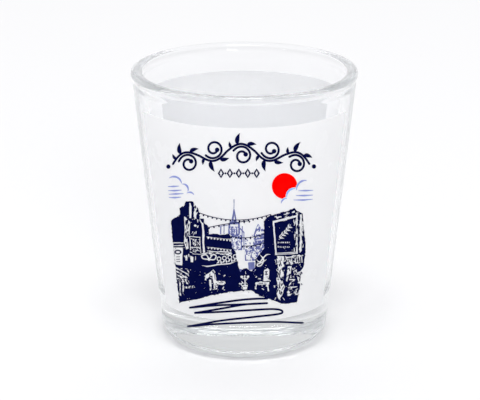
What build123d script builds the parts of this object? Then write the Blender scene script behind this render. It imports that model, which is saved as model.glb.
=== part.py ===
from build123d import *

# A souvenir shot glass: a pressed clear glass with a thick foot, a white enamel panel on the front
# and on the back of its conical wall, and a street scene printed in four inks on the front panel.
# Millimetres, +Z up. The glass stands on z = 0 with its axis on Z, and its front faces -Y.

import os
from math import cos, radians, sin

# Glass: outer shape
glass_height = 60.0
foot_radius = 17.72             # the conical wall carried down to the table
mouth_radius = 24.14            # the conical wall carried up to the rim
foot_corner_radius = 3.6
punt_radius = 10.5              # shallow recess that leaves a ring to stand on
punt_depth = 0.6
punt_slope = 1.2
punt_edge_radius = 0.5

# Glass: rolled rim
rim_neck_drop = 3.4             # where the wall starts to draw in, below the rim
rim_waist_drop = 2.15
rim_waist_depth = 0.13
rim_bead_drop = 0.95
rim_bead_height = 0.15
rim_crown_inset = 0.95
rim_inner_drop = 0.35
rim_inner_radius = 0.5

# Glass: inside
floor_thickness = 10.0
floor_corner_radius = 4.0
wall_at_floor = 2.8
wall_at_rim = 2.35

# White panels
panel_bottom = 9.58             # height of the lower edge above the table
panel_top_margin = 6.62         # clear band between the upper edge and the rim
panel_half_angle = 64.0
panel_thickness = 0.10
front = -90.0                   # azimuths about Z
back = 90.0

# Inks. The artwork is flat, square to an eye that looks down at art_tilt, and laid on the wall
# along that line of sight. Its own axes are u to the right and v up, from the panel's middle.
ink_thickness = 0.05
ink_half_angle = 75.0
art_tilt = 18.0
art_reach = 18.0                # half the depth that the artwork is carried through

# Red sun and the two blue clouds: lobes are (u, v, radius, start angle, sweep)
sun_centre = (8.3, 8.4)
sun_radius = 2.65
cloud_pen = 0.34
cloud_gap = 0.03                # bare panel between the sun and the cloud in front of it
left_lobes = [(-14.7, 8.7, 1.70, 10, 105), (-12.75, 7.75, 1.10, -18, 105), (-11.35, 6.15, 1.00, 35, 85)]
right_lobes = [(12.65, 7.75, 1.85, 88, 92), (10.3, 6.35, 1.55, 85, 98), (8.75, 4.75, 1.15, 92, 78)]
left_hatch = [(-15.9, -13.6, 8.25), (-15.8, -13.1, 7.5), (-15.7, -12.7, 6.75), (-15.7, -13.2, 6.0)]
right_hatch = [(11.2, 14.1, 7.3), (10.7, 14.1, 6.4), (10.2, 14.1, 5.5)]
hatch_pen = 0.30

# Navy scroll border and the row of diamonds and dots below it
scroll_centre = (-0.7, 15.45)
scroll_arch_radius = 40.0
scroll_bays = 5
scroll_bay_angle = 8.24         # degrees of arch for one bay
scroll_rise = 1.5
scroll_curl_centre = (0.3, -0.9)
scroll_curl_radius = 1.6
scroll_curl_start = 150.0
scroll_curl_sweep = 330.0
scroll_bud_radius = 0.46
scroll_pen = 0.45
scroll_leaves = [(-0.87, 2.4, 105, 2.3, 0.95), (2.0, 1.6, 30, 1.9, 0.85), (-2.3, 1.2, 140, 1.3, 0.65)]
scroll_end_angle = 22.2         # degrees of arch from the middle to each end dot
scroll_end_dot = 0.45
ornament_centre = (-1.15, 11.0)
ornament_count = 5
ornament_pitch = 1.825
ornament_diamond = (0.68, 1.0)  # half width and half height
ornament_opening = (0.30, 0.58)
ornament_dot = 0.20

# Navy street: one joined film, with its windows, board and shop fronts left bare
street_outline = [
    (-13.9, -16.4), (-14.7, -8.2), (-15.4, 1.2), (-13.4, 2.6), (-13.4, 4.0), (-12.1, 5.3),
    (-10.5, 5.3), (-9.3, 3.4), (-9.3, 1.6), (-7.5, 0.4), (-7.5, -1.6), (-2.9, -1.6),
    (-2.7, -5.4), (-1.6, -6.0), (-1.1, -9.0), (1.6, -9.0), (2.3, -6.6), (4.2, -4.6),
    (4.1, 1.1), (5.2, 2.3), (10.3, 3.8), (12.1, 2.6), (12.8, -5.0), (12.1, -9.0),
    (11.1, -16.2), (7.9, -16.2), (5.0, -15.2), (1.4, -13.5), (-5.1, -14.1),
]
gable_slot = [(-12.5, 3.6), (-12.1, 4.2), (-11.7, 3.6), (-11.7, 0.6), (-12.5, 0.6)]
board_centre = (8.7, -1.6)
board_width = 4.8
board_height = 6.2
board_line = 0.35
left_window_centre = (-12.4, -4.2)
left_window_count = (3, 2)
left_window_pitch = (1.5, 2.4)
left_window_size = (0.7, 1.3)
right_window_centre = (9.3, -8.0)
right_window_count = (4, 2)
right_window_pitch = (1.35, 1.9)
right_window_size = (0.6, 1.0)
shop_centre = (-5.9, -10.6)
shop_count = 3
shop_pitch = 2.6
shop_size = (1.5, 2.2)
awning_centres = [(-5.2, -2.6), (-5.2, -4.75)]
awning_teeth = 7
awning_pitch = 0.62
awning_tooth = (0.40, 0.30)     # width and depth of a bare tooth in the awning's hem
awning_tooth_angle = 70.0

# Violet far street, behind the navy one: houses, and a tower of square stages under a spire
far_outline = [(1.2, -6.9), (1.2, -3.4), (2.5, -3.4), (2.5, -0.6), (3.3, 0.4), (4.6, 0.4), (4.6, -6.9)]
tower_centre = -2.15
tower_stages = [(2.1, -5.0, 0.3), (1.3, 0.3, 1.5)]     # width, foot and head of each stage
tower_spire_width = 0.8
tower_spire_top = 4.1
tower_mast = 0.16
tower_mast_top = 5.6

# Navy bulb strings: (left end, lowest point, right end)
string_lines = [
    ((-9.0, 2.7), (0.2, 1.05), (5.0, 2.75)),
    ((-7.2, -0.2), (-3.2, 0.75), (0.4, 1.0)),
    ((-2.6, -2.05), (0.8, -2.35), (3.9, -1.5)),
]
string_pen = 0.12
bulb_radius = 0.17
bulbs_per_string = 7

# Navy pen scribble under the street: the bends of one zigzag stroke
scribble_bends = [(4.8, -15.7), (-11.6, -17.3), (4.8, -16.6), (-10.5, -18.4), (8.0, -18.0), (-12.1, -21.5)]
scribble_end = (12.5, -20.7)
scribble_bow = 0.35
scribble_pen = 0.42


def wall_radius(height):
    """Outer radius of the plain conical wall at a height."""
    return foot_radius + (mouth_radius - foot_radius) * height / glass_height


def inner_radius(height):
    """Radius of the bore at a height."""
    share = (height - floor_thickness) / (glass_height - floor_thickness)
    return wall_radius(height) - wall_at_floor - (wall_at_rim - wall_at_floor) * share


def wall_band(low, high, inner, outer, middle, half_angle):
    """Thin conical band on the wall, between two heights and two distances off the glass."""
    start = radians(middle - half_angle)
    start_plane = Plane((0, 0, 0), x_dir=(cos(start), sin(start), 0), z_dir=(sin(start), -cos(start), 0))
    with BuildPart() as band:
        with BuildSketch(start_plane):
            with BuildLine():
                Polyline(
                    (wall_radius(low) + inner, low),
                    (wall_radius(low) + outer, low),
                    (wall_radius(high) + outer, high),
                    (wall_radius(high) + inner, high),
                    close=True,
                )
            make_face()
        revolve(axis=Axis.Z, revolution_arc=2 * half_angle)
    return band.part


def stroke(start, end, pen, bow=0.0):
    """Round-ended pen stroke between two points, bowed sideways at its middle."""
    with BuildSketch() as line:
        if bow:
            middle = (Vector(start) + Vector(end)) / 2 + Vector(0, bow)
            SlotArc(ThreePointArc(start, middle, end), pen)
        else:
            SlotArc(Line(start, end), pen)
    return line.sketch


def cloud_lines(lobes, hatch):
    """A cloud drawn as scalloped lobes with flat hatch strokes under them."""
    with BuildSketch() as lines:
        for u, v, radius, start, sweep in lobes:
            SlotArc(CenterArc((u, v), radius, start, sweep), cloud_pen)
        for left, right, v in hatch:
            add(stroke((left, v), (right, v), hatch_pen))
    return lines.sketch


def bulb_string(left, lowest, right):
    """A sagging string with round bulbs spaced evenly along it."""
    with BuildSketch() as string:
        sag = ThreePointArc(left, lowest, right)
        SlotArc(sag, string_pen)
        for number in range(bulbs_per_string):
            with Locations(sag @ ((number + 0.5) / bulbs_per_string)):
                Circle(bulb_radius)
    return string.sketch


def scroll_bay(side):
    """One bay of the scroll border: a bowed stem with leaves, and a curl round a bud in its hollow."""
    half_bay = scroll_arch_radius * radians(scroll_bay_angle) / 2
    centre = (scroll_curl_centre[0], side * scroll_curl_centre[1])
    curl_start = side * scroll_curl_start
    with BuildSketch() as bay:
        add(stroke((-half_bay, 0), (half_bay, 0), scroll_pen, bow=side * scroll_rise))
        SlotArc(CenterArc(centre, scroll_curl_radius, curl_start, -side * scroll_curl_sweep), scroll_pen)
        with Locations(centre):
            Circle(scroll_bud_radius)
        for u, v, heading, length, width in scroll_leaves:
            with Locations(Location((u, side * v, 0), (0, 0, side * heading))):
                Ellipse(length / 2, width / 2)
    return bay.sketch


def scroll_place(turn):
    """A point of the scroll border's arch, at an angle from its middle in degrees."""
    u = scroll_centre[0] + scroll_arch_radius * sin(radians(turn))
    v = scroll_centre[1] - scroll_arch_radius * (1 - cos(radians(turn)))
    return (u, v)


def diamond(half_width, half_height):
    """Corners of an upright diamond about its middle."""
    return [(half_width, 0), (0, half_height), (-half_width, 0), (0, -half_height)]


panel_top = glass_height - panel_top_margin
art_height = (panel_bottom + panel_top) / 2
art_plane = Plane(
    (0, -wall_radius(art_height), art_height),
    x_dir=(1, 0, 0),
    z_dir=(0, -cos(radians(art_tilt)), sin(radians(art_tilt))),
)

# Glass body: one pressed piece, turned from its half section
with BuildPart() as glass_body:
    with BuildSketch(Plane.XZ) as section:
        neck_height = glass_height - rim_neck_drop
        waist_height = glass_height - rim_waist_drop
        bead_height = glass_height - rim_bead_drop
        foot_corner = (foot_radius, 0)
        floor_corner = (inner_radius(floor_thickness), floor_thickness)
        mouth_edge = (inner_radius(glass_height), glass_height - rim_inner_drop)
        neck = (wall_radius(neck_height), neck_height)
        crown = (mouth_radius - rim_crown_inset, glass_height)
        with BuildLine():
            Polyline((0, punt_depth), (punt_radius - punt_slope, punt_depth), (punt_radius, 0), foot_corner, neck)
            Spline(
                neck,
                (wall_radius(waist_height) - rim_waist_depth, waist_height),
                (wall_radius(bead_height) + rim_bead_height, bead_height),
                crown,
                tangents=((mouth_radius - foot_radius, glass_height), (-1, 0)),
            )
            Polyline(crown, mouth_edge, floor_corner, (0, floor_thickness), (0, punt_depth))
        make_face()
        fillet(section.vertices().sort_by_distance(foot_corner)[0], foot_corner_radius)
        fillet(section.vertices().sort_by_distance(floor_corner)[0], floor_corner_radius)
        fillet(section.vertices().sort_by_distance(mouth_edge)[0], rim_inner_radius)
        fillet(section.vertices().sort_by_distance((punt_radius, 0))[0], punt_edge_radius)
    revolve(axis=Axis.Z)
glass_body.part.label = "glass_body"

# White enamel panels, fired on to the outer wall
with BuildPart() as front_coat:
    add(wall_band(panel_bottom, panel_top, 0, panel_thickness, front, panel_half_angle))
front_coat.part.label = "front_coat"

with BuildPart() as back_coat:
    add(wall_band(panel_bottom, panel_top, 0, panel_thickness, back, panel_half_angle))
back_coat.part.label = "back_coat"

# Inks on the front: each film is the part of this thin band that lies behind its artwork, and it
# rests on the panel, or past the panel's edge on the bare glass
ink_band = wall_band(
    foot_corner_radius, panel_top, 0, panel_thickness + ink_thickness, front, ink_half_angle
)

with BuildPart() as sun_print:
    add(ink_band)
    with BuildSketch(art_plane):
        with Locations(sun_centre):
            Circle(sun_radius)
        for u, v, radius, start, sweep in right_lobes:
            with Locations((u, v)):
                Circle(radius + cloud_pen / 2 + cloud_gap, mode=Mode.SUBTRACT)
    extrude(amount=art_reach, both=True, mode=Mode.INTERSECT)
    add(front_coat.part, mode=Mode.SUBTRACT)
sun_print.part.label = "sun_print"

with BuildPart() as left_cloud_print:
    add(ink_band)
    with BuildSketch(art_plane):
        add(cloud_lines(left_lobes, left_hatch))
    extrude(amount=art_reach, both=True, mode=Mode.INTERSECT)
    add(front_coat.part, mode=Mode.SUBTRACT)
left_cloud_print.part.label = "left_cloud_print"

with BuildPart() as right_cloud_print:
    add(ink_band)
    with BuildSketch(art_plane):
        add(cloud_lines(right_lobes, right_hatch))
    extrude(amount=art_reach, both=True, mode=Mode.INTERSECT)
    add(front_coat.part, mode=Mode.SUBTRACT)
right_cloud_print.part.label = "right_cloud_print"

with BuildPart() as scroll_print:
    add(ink_band)
    with BuildSketch(art_plane):
        for number in range(scroll_bays):
            turn = (number - (scroll_bays - 1) / 2) * scroll_bay_angle
            with Locations(Location((*scroll_place(turn), 0), (0, 0, -turn))):
                add(scroll_bay(1 if number % 2 == 0 else -1))
        with Locations(scroll_place(-scroll_end_angle), scroll_place(scroll_end_angle)):
            Circle(scroll_end_dot)
    extrude(amount=art_reach, both=True, mode=Mode.INTERSECT)
    add(front_coat.part, mode=Mode.SUBTRACT)
scroll_print.part.label = "scroll_print"

with BuildPart() as ornament_print:
    add(ink_band)
    with BuildSketch(art_plane):
        with Locations(ornament_centre):
            with GridLocations(ornament_pitch, 0, ornament_count, 1):
                Polygon(*diamond(*ornament_diamond))
                Polygon(*diamond(*ornament_opening), mode=Mode.SUBTRACT)
            with GridLocations(ornament_pitch, 0, ornament_count - 1, 1):
                Circle(ornament_dot)
    extrude(amount=art_reach, both=True, mode=Mode.INTERSECT)
    add(front_coat.part, mode=Mode.SUBTRACT)
ornament_print.part.label = "ornament_print"

with BuildPart() as street_print:
    add(ink_band)
    with BuildSketch(art_plane):
        with BuildLine():
            Polyline(street_outline, close=True)
        make_face()
        with BuildLine():
            Polyline(gable_slot, close=True)
        make_face(mode=Mode.SUBTRACT)
        with Locations(board_centre):
            Rectangle(board_width, board_height, mode=Mode.SUBTRACT)
            Rectangle(board_width - 2 * board_line, board_height - 2 * board_line)
        with Locations(left_window_centre), GridLocations(*left_window_pitch, *left_window_count):
            Rectangle(*left_window_size, mode=Mode.SUBTRACT)
        with Locations(right_window_centre), GridLocations(*right_window_pitch, *right_window_count):
            Rectangle(*right_window_size, mode=Mode.SUBTRACT)
        with Locations(shop_centre), GridLocations(shop_pitch, 0, shop_count, 1):
            Rectangle(*shop_size, mode=Mode.SUBTRACT)
        with Locations(*awning_centres), GridLocations(awning_pitch, 0, awning_teeth, 1):
            Trapezoid(*awning_tooth, awning_tooth_angle, rotation=180, mode=Mode.SUBTRACT)
    extrude(amount=art_reach, both=True, mode=Mode.INTERSECT)
    add(front_coat.part, mode=Mode.SUBTRACT)
street_print.part.label = "street_print"

with BuildPart() as strings_print:
    add(ink_band)
    with BuildSketch(art_plane):
        for left, lowest, right in string_lines:
            add(bulb_string(left, lowest, right))
    extrude(amount=art_reach, both=True, mode=Mode.INTERSECT)
    add(front_coat.part, mode=Mode.SUBTRACT)
    add(street_print.part, mode=Mode.SUBTRACT)
strings_print.part.label = "strings_print"

with BuildPart() as far_street_print:
    add(ink_band)
    with BuildSketch(art_plane):
        with BuildLine():
            Polyline(far_outline, close=True)
        make_face()
        for width, foot, head in tower_stages:
            with Locations((tower_centre, (foot + head) / 2)):
                Rectangle(width, head - foot)
        spire_foot = tower_stages[-1][2]
        with Locations((tower_centre, (spire_foot + tower_mast_top) / 2)):
            Rectangle(tower_mast, tower_mast_top - spire_foot)
        with BuildLine():
            Polyline(
                (tower_centre - tower_spire_width / 2, spire_foot),
                (tower_centre + tower_spire_width / 2, spire_foot),
                (tower_centre, tower_spire_top),
                close=True,
            )
        make_face()
    extrude(amount=art_reach, both=True, mode=Mode.INTERSECT)
    add(front_coat.part, mode=Mode.SUBTRACT)
    add(street_print.part, mode=Mode.SUBTRACT)
    add(strings_print.part, mode=Mode.SUBTRACT)
far_street_print.part.label = "far_street_print"

with BuildPart() as scribble_print:
    add(ink_band)
    with BuildSketch(art_plane):
        bends = scribble_bends + [scribble_end]
        for start, end in zip(bends, bends[1:]):
            add(stroke(start, end, scribble_pen, bow=scribble_bow))
    extrude(amount=art_reach, both=True, mode=Mode.INTERSECT)
    add(front_coat.part, mode=Mode.SUBTRACT)
scribble_print.part.label = "scribble_print"

pieces = [
    glass_body, front_coat, back_coat, sun_print, left_cloud_print, right_cloud_print, scroll_print,
    ornament_print, street_print, strings_print, far_street_print, scribble_print,
]
os.makedirs("parts", exist_ok=True)
for piece in pieces:
    export_step(piece.part, f"parts/{piece.part.label}.step")
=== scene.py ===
import math
import random

import bpy
import numpy as np
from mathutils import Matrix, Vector
from mathutils.geometry import delaunay_2d_cdt


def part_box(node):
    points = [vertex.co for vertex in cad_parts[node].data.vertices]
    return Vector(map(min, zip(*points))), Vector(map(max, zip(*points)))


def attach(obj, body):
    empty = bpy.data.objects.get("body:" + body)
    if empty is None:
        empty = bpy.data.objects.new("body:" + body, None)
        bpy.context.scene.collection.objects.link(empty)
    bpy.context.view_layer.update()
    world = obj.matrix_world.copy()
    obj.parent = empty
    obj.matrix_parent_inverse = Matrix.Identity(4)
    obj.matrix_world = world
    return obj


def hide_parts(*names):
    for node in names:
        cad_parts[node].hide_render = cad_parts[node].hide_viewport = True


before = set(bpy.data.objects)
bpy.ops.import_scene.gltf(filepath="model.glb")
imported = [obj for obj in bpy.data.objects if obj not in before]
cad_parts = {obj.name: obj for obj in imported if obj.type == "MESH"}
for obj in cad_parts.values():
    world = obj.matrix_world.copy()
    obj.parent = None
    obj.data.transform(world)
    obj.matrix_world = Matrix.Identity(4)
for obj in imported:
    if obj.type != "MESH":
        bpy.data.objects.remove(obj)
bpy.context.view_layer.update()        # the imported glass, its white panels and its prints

mm = 0.001

# ----------------------------------------------------------
# The view. A long lens stands a little above the rim and looks down at the middle of the glass,
# whose printed front faces -Y.
glass_low, glass_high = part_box("glass_body")
glass_height = glass_high.z - glass_low.z
look_down = math.radians(18.04)
view_distance = 458.3 * mm
view_target = Vector((0, 0, glass_height / 2))
sight_line = Vector((0, math.cos(look_down), -math.sin(look_down)))

camera = bpy.data.objects.new("camera", bpy.data.cameras.new("camera"))
bpy.context.scene.collection.objects.link(camera)
bpy.context.scene.camera = camera
camera.data.sensor_width = 36.0
camera.data.lens = 158.5
camera.data.shift_x = -0.0092
camera.data.shift_y = 0.0042
camera.data.clip_start = 0.01
camera.data.clip_end = 20.0
camera.location = view_target - sight_line * view_distance
camera.rotation_mode = "QUATERNION"
camera.rotation_quaternion = sight_line.to_track_quat("-Z", "Y")

# ----------------------------------------------------------
# The table and the light. The glass stands on a plain pale table in a bright white tent that is a
# little greyer to the right. Two small lamps, overhead and in front, put the sparkles on the rim.
bpy.context.scene.view_settings.view_transform = "Standard"

# Light leaves a thick clear glass with white walls only after many turns inside it
cycles = bpy.context.scene.cycles
cycles.max_bounces = 64
cycles.diffuse_bounces = 32
cycles.glossy_bounces = 32
cycles.transmission_bounces = 48
cycles.blur_glossy = 0.0

table_radius = 4.0
table_steps = 96


def mesh_piece(name, points, faces, edges=(), smooth=True):
    """An object at the origin from points in metres and faces or edges as index lists."""
    mesh = bpy.data.meshes.new(name)
    mesh.from_pydata([tuple(p) for p in points], [tuple(e) for e in edges], [tuple(f) for f in faces])
    mesh.validate()
    mesh.polygons.foreach_set("use_smooth", [smooth] * len(mesh.polygons))
    piece = bpy.data.objects.new(name, mesh)
    bpy.context.scene.collection.objects.link(piece)
    return piece


def feed(node, values):
    """Sets a node's inputs, each to a value, to an output or to another node's first output."""
    for socket, value in values.items():
        if isinstance(value, bpy.types.Node):
            value = value.outputs[0]
        if isinstance(value, bpy.types.NodeSocket):
            node.id_data.links.new(value, node.inputs[socket])
        else:
            node.inputs[socket].default_value = value


def add_node(tree, kind, values=None, **settings):
    """A node of a kind, with its settings and what its inputs take."""
    node = tree.nodes.new(kind)
    for setting, value in settings.items():
        setattr(node, setting, value)
    feed(node, values or {})
    return node


def new_material(name, **sockets):
    """A material with one Principled BSDF, whose own sockets are set by name."""
    material = bpy.data.materials.new(name)
    material.use_nodes = True
    shader = material.node_tree.nodes["Principled BSDF"]
    feed(shader, {socket.replace("_", " "): value for socket, value in sockets.items()})
    return material, material.node_tree, shader


turns = [2 * math.pi * step / table_steps for step in range(table_steps)]
table = mesh_piece(
    "table",
    [(table_radius * math.cos(a), table_radius * math.sin(a), 0) for a in turns],
    [range(table_steps)],
    smooth=False,
)
table_paint, _, _ = new_material(
    "table_paint", Base_Color=(0.83, 0.83, 0.835, 1), Roughness=0.9, Specular_IOR_Level=0.0
)
table.data.materials.append(table_paint)


def soft_box(name, place, aim, width, height, power):
    """A rectangular area light of that size, at a place, aimed at a point."""
    lamp = bpy.data.lights.new(name, "AREA")
    lamp.shape = "RECTANGLE"
    lamp.size, lamp.size_y = width, height
    lamp.energy = power
    light = bpy.data.objects.new(name, lamp)
    bpy.context.scene.collection.objects.link(light)
    light.location = place
    light.rotation_mode = "QUATERNION"
    light.rotation_quaternion = (Vector(aim) - Vector(place)).to_track_quat("-Z", "Y")


glass_middle = (0, 0, glass_height / 2)
soft_box("overhead_lamp", (0.0, -0.7, 2.2), glass_middle, 1.0, 0.7, 19)
soft_box("front_lamp", (0.5, -2.2, 1.1), glass_middle, 0.5, 0.5, 6)

room = bpy.data.worlds.new("studio")
bpy.context.scene.world = room
room.use_nodes = True
room_nodes = room.node_tree
directions = add_node(room_nodes, "ShaderNodeTexCoord")
split = add_node(room_nodes, "ShaderNodeSeparateXYZ", {0: directions.outputs["Generated"]})
across = add_node(room_nodes, "ShaderNodeMapRange", {
    "Value": split.outputs["X"], "From Min": -1.0, "From Max": 1.0,
})
walls = add_node(room_nodes, "ShaderNodeValToRGB", {0: across})
for place, tone in ((0.05, 0.80), (0.35, 0.81), (0.65, 0.79), (0.95, 0.64)):
    stop = walls.color_ramp.elements.new(place)
    stop.color = (tone, tone, tone * 1.012, 1)
for end in (0, -1):
    walls.color_ramp.elements.remove(walls.color_ramp.elements[end])
ceiling = add_node(room_nodes, "ShaderNodeValToRGB", {0: split.outputs["Z"]})
for stop, (place, tone) in zip(ceiling.color_ramp.elements, ((0.15, 1.0), (0.65, 1.12))):
    stop.position = place
    stop.color = (tone, tone, tone, 1)
joined = add_node(
    room_nodes, "ShaderNodeMix", {0: 1.0, 6: walls, 7: ceiling}, data_type="RGBA", blend_type="MULTIPLY"
)
feed(room_nodes.nodes["Background"], {"Color": joined.outputs[2]})

# ----------------------------------------------------------
# Glass body: clear soda-lime glass, pressed in a mould as one piece. A thick foot with a shallow
# recess under it, a wall that flares and thins upwards, and a fire-polished rolled rim.
foot_radius = 17.72 * mm
mouth_radius = 24.14 * mm
foot_corner = 3.6 * mm
recess_radius = 10.5 * mm
recess_depth = 0.6 * mm
recess_slope = 1.2 * mm
recess_edge = 0.5 * mm
floor_thickness = 10.0 * mm
floor_corner = 4.0 * mm
wall_at_floor = 2.8 * mm
wall_at_rim = 2.35 * mm
neck_drop = 3.4 * mm
waist_drop = 2.15 * mm
waist_depth = 0.13 * mm
bead_drop = 0.95 * mm
bead_proud = 0.15 * mm
crown_inset = 0.95 * mm
lip_drop = 0.35 * mm
lip_edge = 0.5 * mm
turning_steps = 256
flare = (mouth_radius - foot_radius) / glass_height


def wall_radius(height):
    """Outer radius of the plain conical wall at a height."""
    return foot_radius + flare * height


def rounded(corners, steps=14):
    """An open line through (x, y, radius) corners, with an arc of that radius at each."""
    line = []
    for number, (x, y, radius) in enumerate(corners):
        corner = Vector((x, y))
        if not radius:
            line.append(corner)
            continue
        before = (Vector(corners[number - 1][:2]) - corner).normalized()
        after = (Vector(corners[number + 1][:2]) - corner).normalized()
        half = before.angle(after) / 2
        start = corner + before * radius / math.tan(half)
        end = corner + after * radius / math.tan(half)
        centre = corner + (before + after).normalized() * radius / math.sin(half)
        for step in range(steps + 1):
            spoke = (start - centre).slerp(end - centre, step / steps)
            line.append(centre + spoke * radius)
    return line


def rim_line():
    """Outer side of the rolled rim: in to a waist, out to a bead, and over to the crown."""
    stations = [(neck_drop, 0.0), (waist_drop, -waist_depth), (bead_drop, bead_proud)]
    line = []
    for (drop, proud), (next_drop, next_proud) in zip(stations, stations[1:]):
        for step in range(8):
            share = step / 8
            ease = (1 - math.cos(math.pi * share)) / 2
            height = glass_height - drop + (drop - next_drop) * share
            line.append((wall_radius(height) + proud + (next_proud - proud) * ease, height))
    bead_height = glass_height - bead_drop
    bead_radius = wall_radius(bead_height) + bead_proud
    crown_radius = mouth_radius - crown_inset
    for step in range(11):
        turn = math.pi / 2 * step / 10
        line.append((
            crown_radius + (bead_radius - crown_radius) * math.cos(turn),
            bead_height + bead_drop * math.sin(turn),
        ))
    return line


def new_tree(name, sockets):
    """A geometry node tree with its named inputs, and the outputs of its input node."""
    tree = bpy.data.node_groups.new(name, "GeometryNodeTree")
    for label, kind in {"Geometry": "NodeSocketGeometry", **sockets}.items():
        tree.interface.new_socket(label, in_out="INPUT", socket_type=kind)
    tree.interface.new_socket("Geometry", in_out="OUTPUT", socket_type="NodeSocketGeometry")
    return tree, tree.nodes.new("NodeGroupInput").outputs


def end_tree(tree, geometry, material):
    """Ends a tree: its copies are made real and take the material."""
    realize = add_node(tree, "GeometryNodeRealizeInstances", {"Geometry": geometry})
    finish = add_node(tree, "GeometryNodeSetMaterial", {"Geometry": realize, "Material": material})
    add_node(tree, "NodeGroupOutput", {"Geometry": finish})
    return tree


def run_tree(piece, tree, values):
    """Runs a tree on a piece with its inputs set by name, and keeps the result as a plain mesh."""
    modifier = piece.modifiers.new(tree.name, "NODES")
    modifier.node_group = tree
    for item in tree.interface.items_tree:
        if item.in_out == "INPUT" and item.name in values:
            modifier[item.identifier] = values[item.name]
    evaluated = piece.evaluated_get(bpy.context.evaluated_depsgraph_get())
    made = bpy.data.meshes.new_from_object(evaluated)
    piece.modifiers.remove(modifier)
    made.name = piece.name
    piece.data = made


def turning_tree():
    """Turns a half section, drawn as a line from the axis out and back, about the Z axis."""
    tree, given = new_tree("turned on the axis", {
        "Turning steps": "NodeSocketInt",
        "Ring radius": "NodeSocketFloat",
        "Closing distance": "NodeSocketFloat",
        "Material": "NodeSocketMaterial",
    })
    section = add_node(tree, "GeometryNodeMeshToCurve", {"Mesh": given["Geometry"]})
    ring = add_node(tree, "GeometryNodeCurvePrimitiveCircle", {
        "Resolution": given["Turning steps"], "Radius": given["Ring radius"],
    })
    sweep = add_node(tree, "GeometryNodeCurveToMesh", {"Curve": ring, "Profile Curve": section})
    poles = add_node(tree, "GeometryNodeMergeByDistance", {
        "Geometry": sweep, "Distance": given["Closing distance"],
    })
    shade = add_node(tree, "GeometryNodeSetShadeSmooth", {"Geometry": poles})
    return end_tree(tree, shade, given["Material"])


def new_group(name, values, results):
    """A shader group with its input values and result kinds, and the outputs of its input node."""
    group = bpy.data.node_groups.new(name, "ShaderNodeTree")
    for label, value in values.items():
        kind = "NodeSocketColor" if isinstance(value, tuple) else "NodeSocketFloat"
        group.interface.new_socket(label, in_out="INPUT", socket_type=kind).default_value = value
    for label, kind in results.items():
        group.interface.new_socket(label, in_out="OUTPUT", socket_type=kind)
    return group, group.nodes.new("NodeGroupInput").outputs


def reckon(tree, operation, *terms, **settings):
    """A math node over its terms."""
    return add_node(tree, "ShaderNodeMath", dict(enumerate(terms)), operation=operation, **settings)


def surface_marks():
    """Shader group: soft roughness smears and low waves, as pressed glass has them."""
    group, given = new_group(
        "surface marks",
        {"Roughness": 0.0, "Smear": 0.03, "Smear size": 0.012, "Wave size": 0.009, "Wave depth": 1.0},
        {"Roughness": "NodeSocketFloat", "Height": "NodeSocketFloat"},
    )
    place = add_node(group, "ShaderNodeTexCoord").outputs["Object"]
    smears = add_node(group, "ShaderNodeTexNoise", {
        "Vector": place, "Scale": reckon(group, "DIVIDE", 1.0, given["Smear size"]),
        "Detail": 5.0, "Roughness": 0.6, "Distortion": 0.6,
    })
    waves = add_node(group, "ShaderNodeTexNoise", {
        "Vector": place, "Scale": reckon(group, "DIVIDE", 1.0, given["Wave size"]),
        "Detail": 1.0, "Roughness": 0.3,
    })
    amount = add_node(group, "ShaderNodeMapRange", {"Value": smears, "From Min": 0.45, "From Max": 0.75})
    add_node(group, "NodeGroupOutput", {
        "Roughness": reckon(group, "MULTIPLY_ADD", amount, given["Smear"], given["Roughness"]),
        "Height": reckon(group, "MULTIPLY", waves, given["Wave depth"]),
    })
    return group


def add_group(tree, group, **values):
    """Places a shader group in a material, with its own input values."""
    inputs = {label.replace("_", " "): value for label, value in values.items()}
    return add_node(tree, "ShaderNodeGroup", inputs, node_tree=group)


marks = surface_marks()
clear_glass, nodes, shader = new_material(
    "pressed_glass", Base_Color=(0.985, 0.987, 0.995, 1), IOR=1.52, Transmission_Weight=1.0
)
wear = add_group(nodes, marks, Roughness=0.0, Smear=0.02, Smear_size=0.010, Wave_size=0.008)
waviness = add_node(nodes, "ShaderNodeBump", {
    "Strength": 0.05, "Distance": 0.0002, "Height": wear.outputs["Height"],
})
feed(shader, {"Roughness": wear.outputs["Roughness"], "Normal": waviness})
depth_tint = add_node(
    nodes, "ShaderNodeVolumeAbsorption", {"Color": (0.30, 0.36, 0.35, 1), "Density": 8.0}
)
feed(nodes.nodes["Material Output"], {"Volume": depth_tint})

floor_radius = wall_radius(floor_thickness) - wall_at_floor
bore_radius = mouth_radius - wall_at_rim
neck_height = glass_height - neck_drop
crown = rim_line()[-1]
outside = rounded([
    (0, recess_depth, 0),
    (recess_radius - recess_slope, recess_depth, recess_edge),
    (recess_radius, 0, recess_edge),
    (foot_radius, 0, foot_corner),
    (wall_radius(neck_height), neck_height, 0),
])[:-1]
inside = rounded([
    (*crown, 0),
    (bore_radius, glass_height - lip_drop, lip_edge),
    (floor_radius, floor_thickness, floor_corner),
    (0, floor_thickness, 0),
])[1:]
half_section = [*outside, *rim_line(), *inside][::-1]
glass_body = mesh_piece(
    "glass",
    [(radius - foot_radius, -height, 0) for radius, height in half_section],
    [],
    edges=[(number, number + 1) for number in range(len(half_section) - 1)],
)
run_tree(glass_body, turning_tree(), {
    "Turning steps": turning_steps,
    "Ring radius": foot_radius,
    "Closing distance": 0.001 * mm,
    "Material": clear_glass,
})
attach(glass_body, "root")
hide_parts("glass_body")

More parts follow.
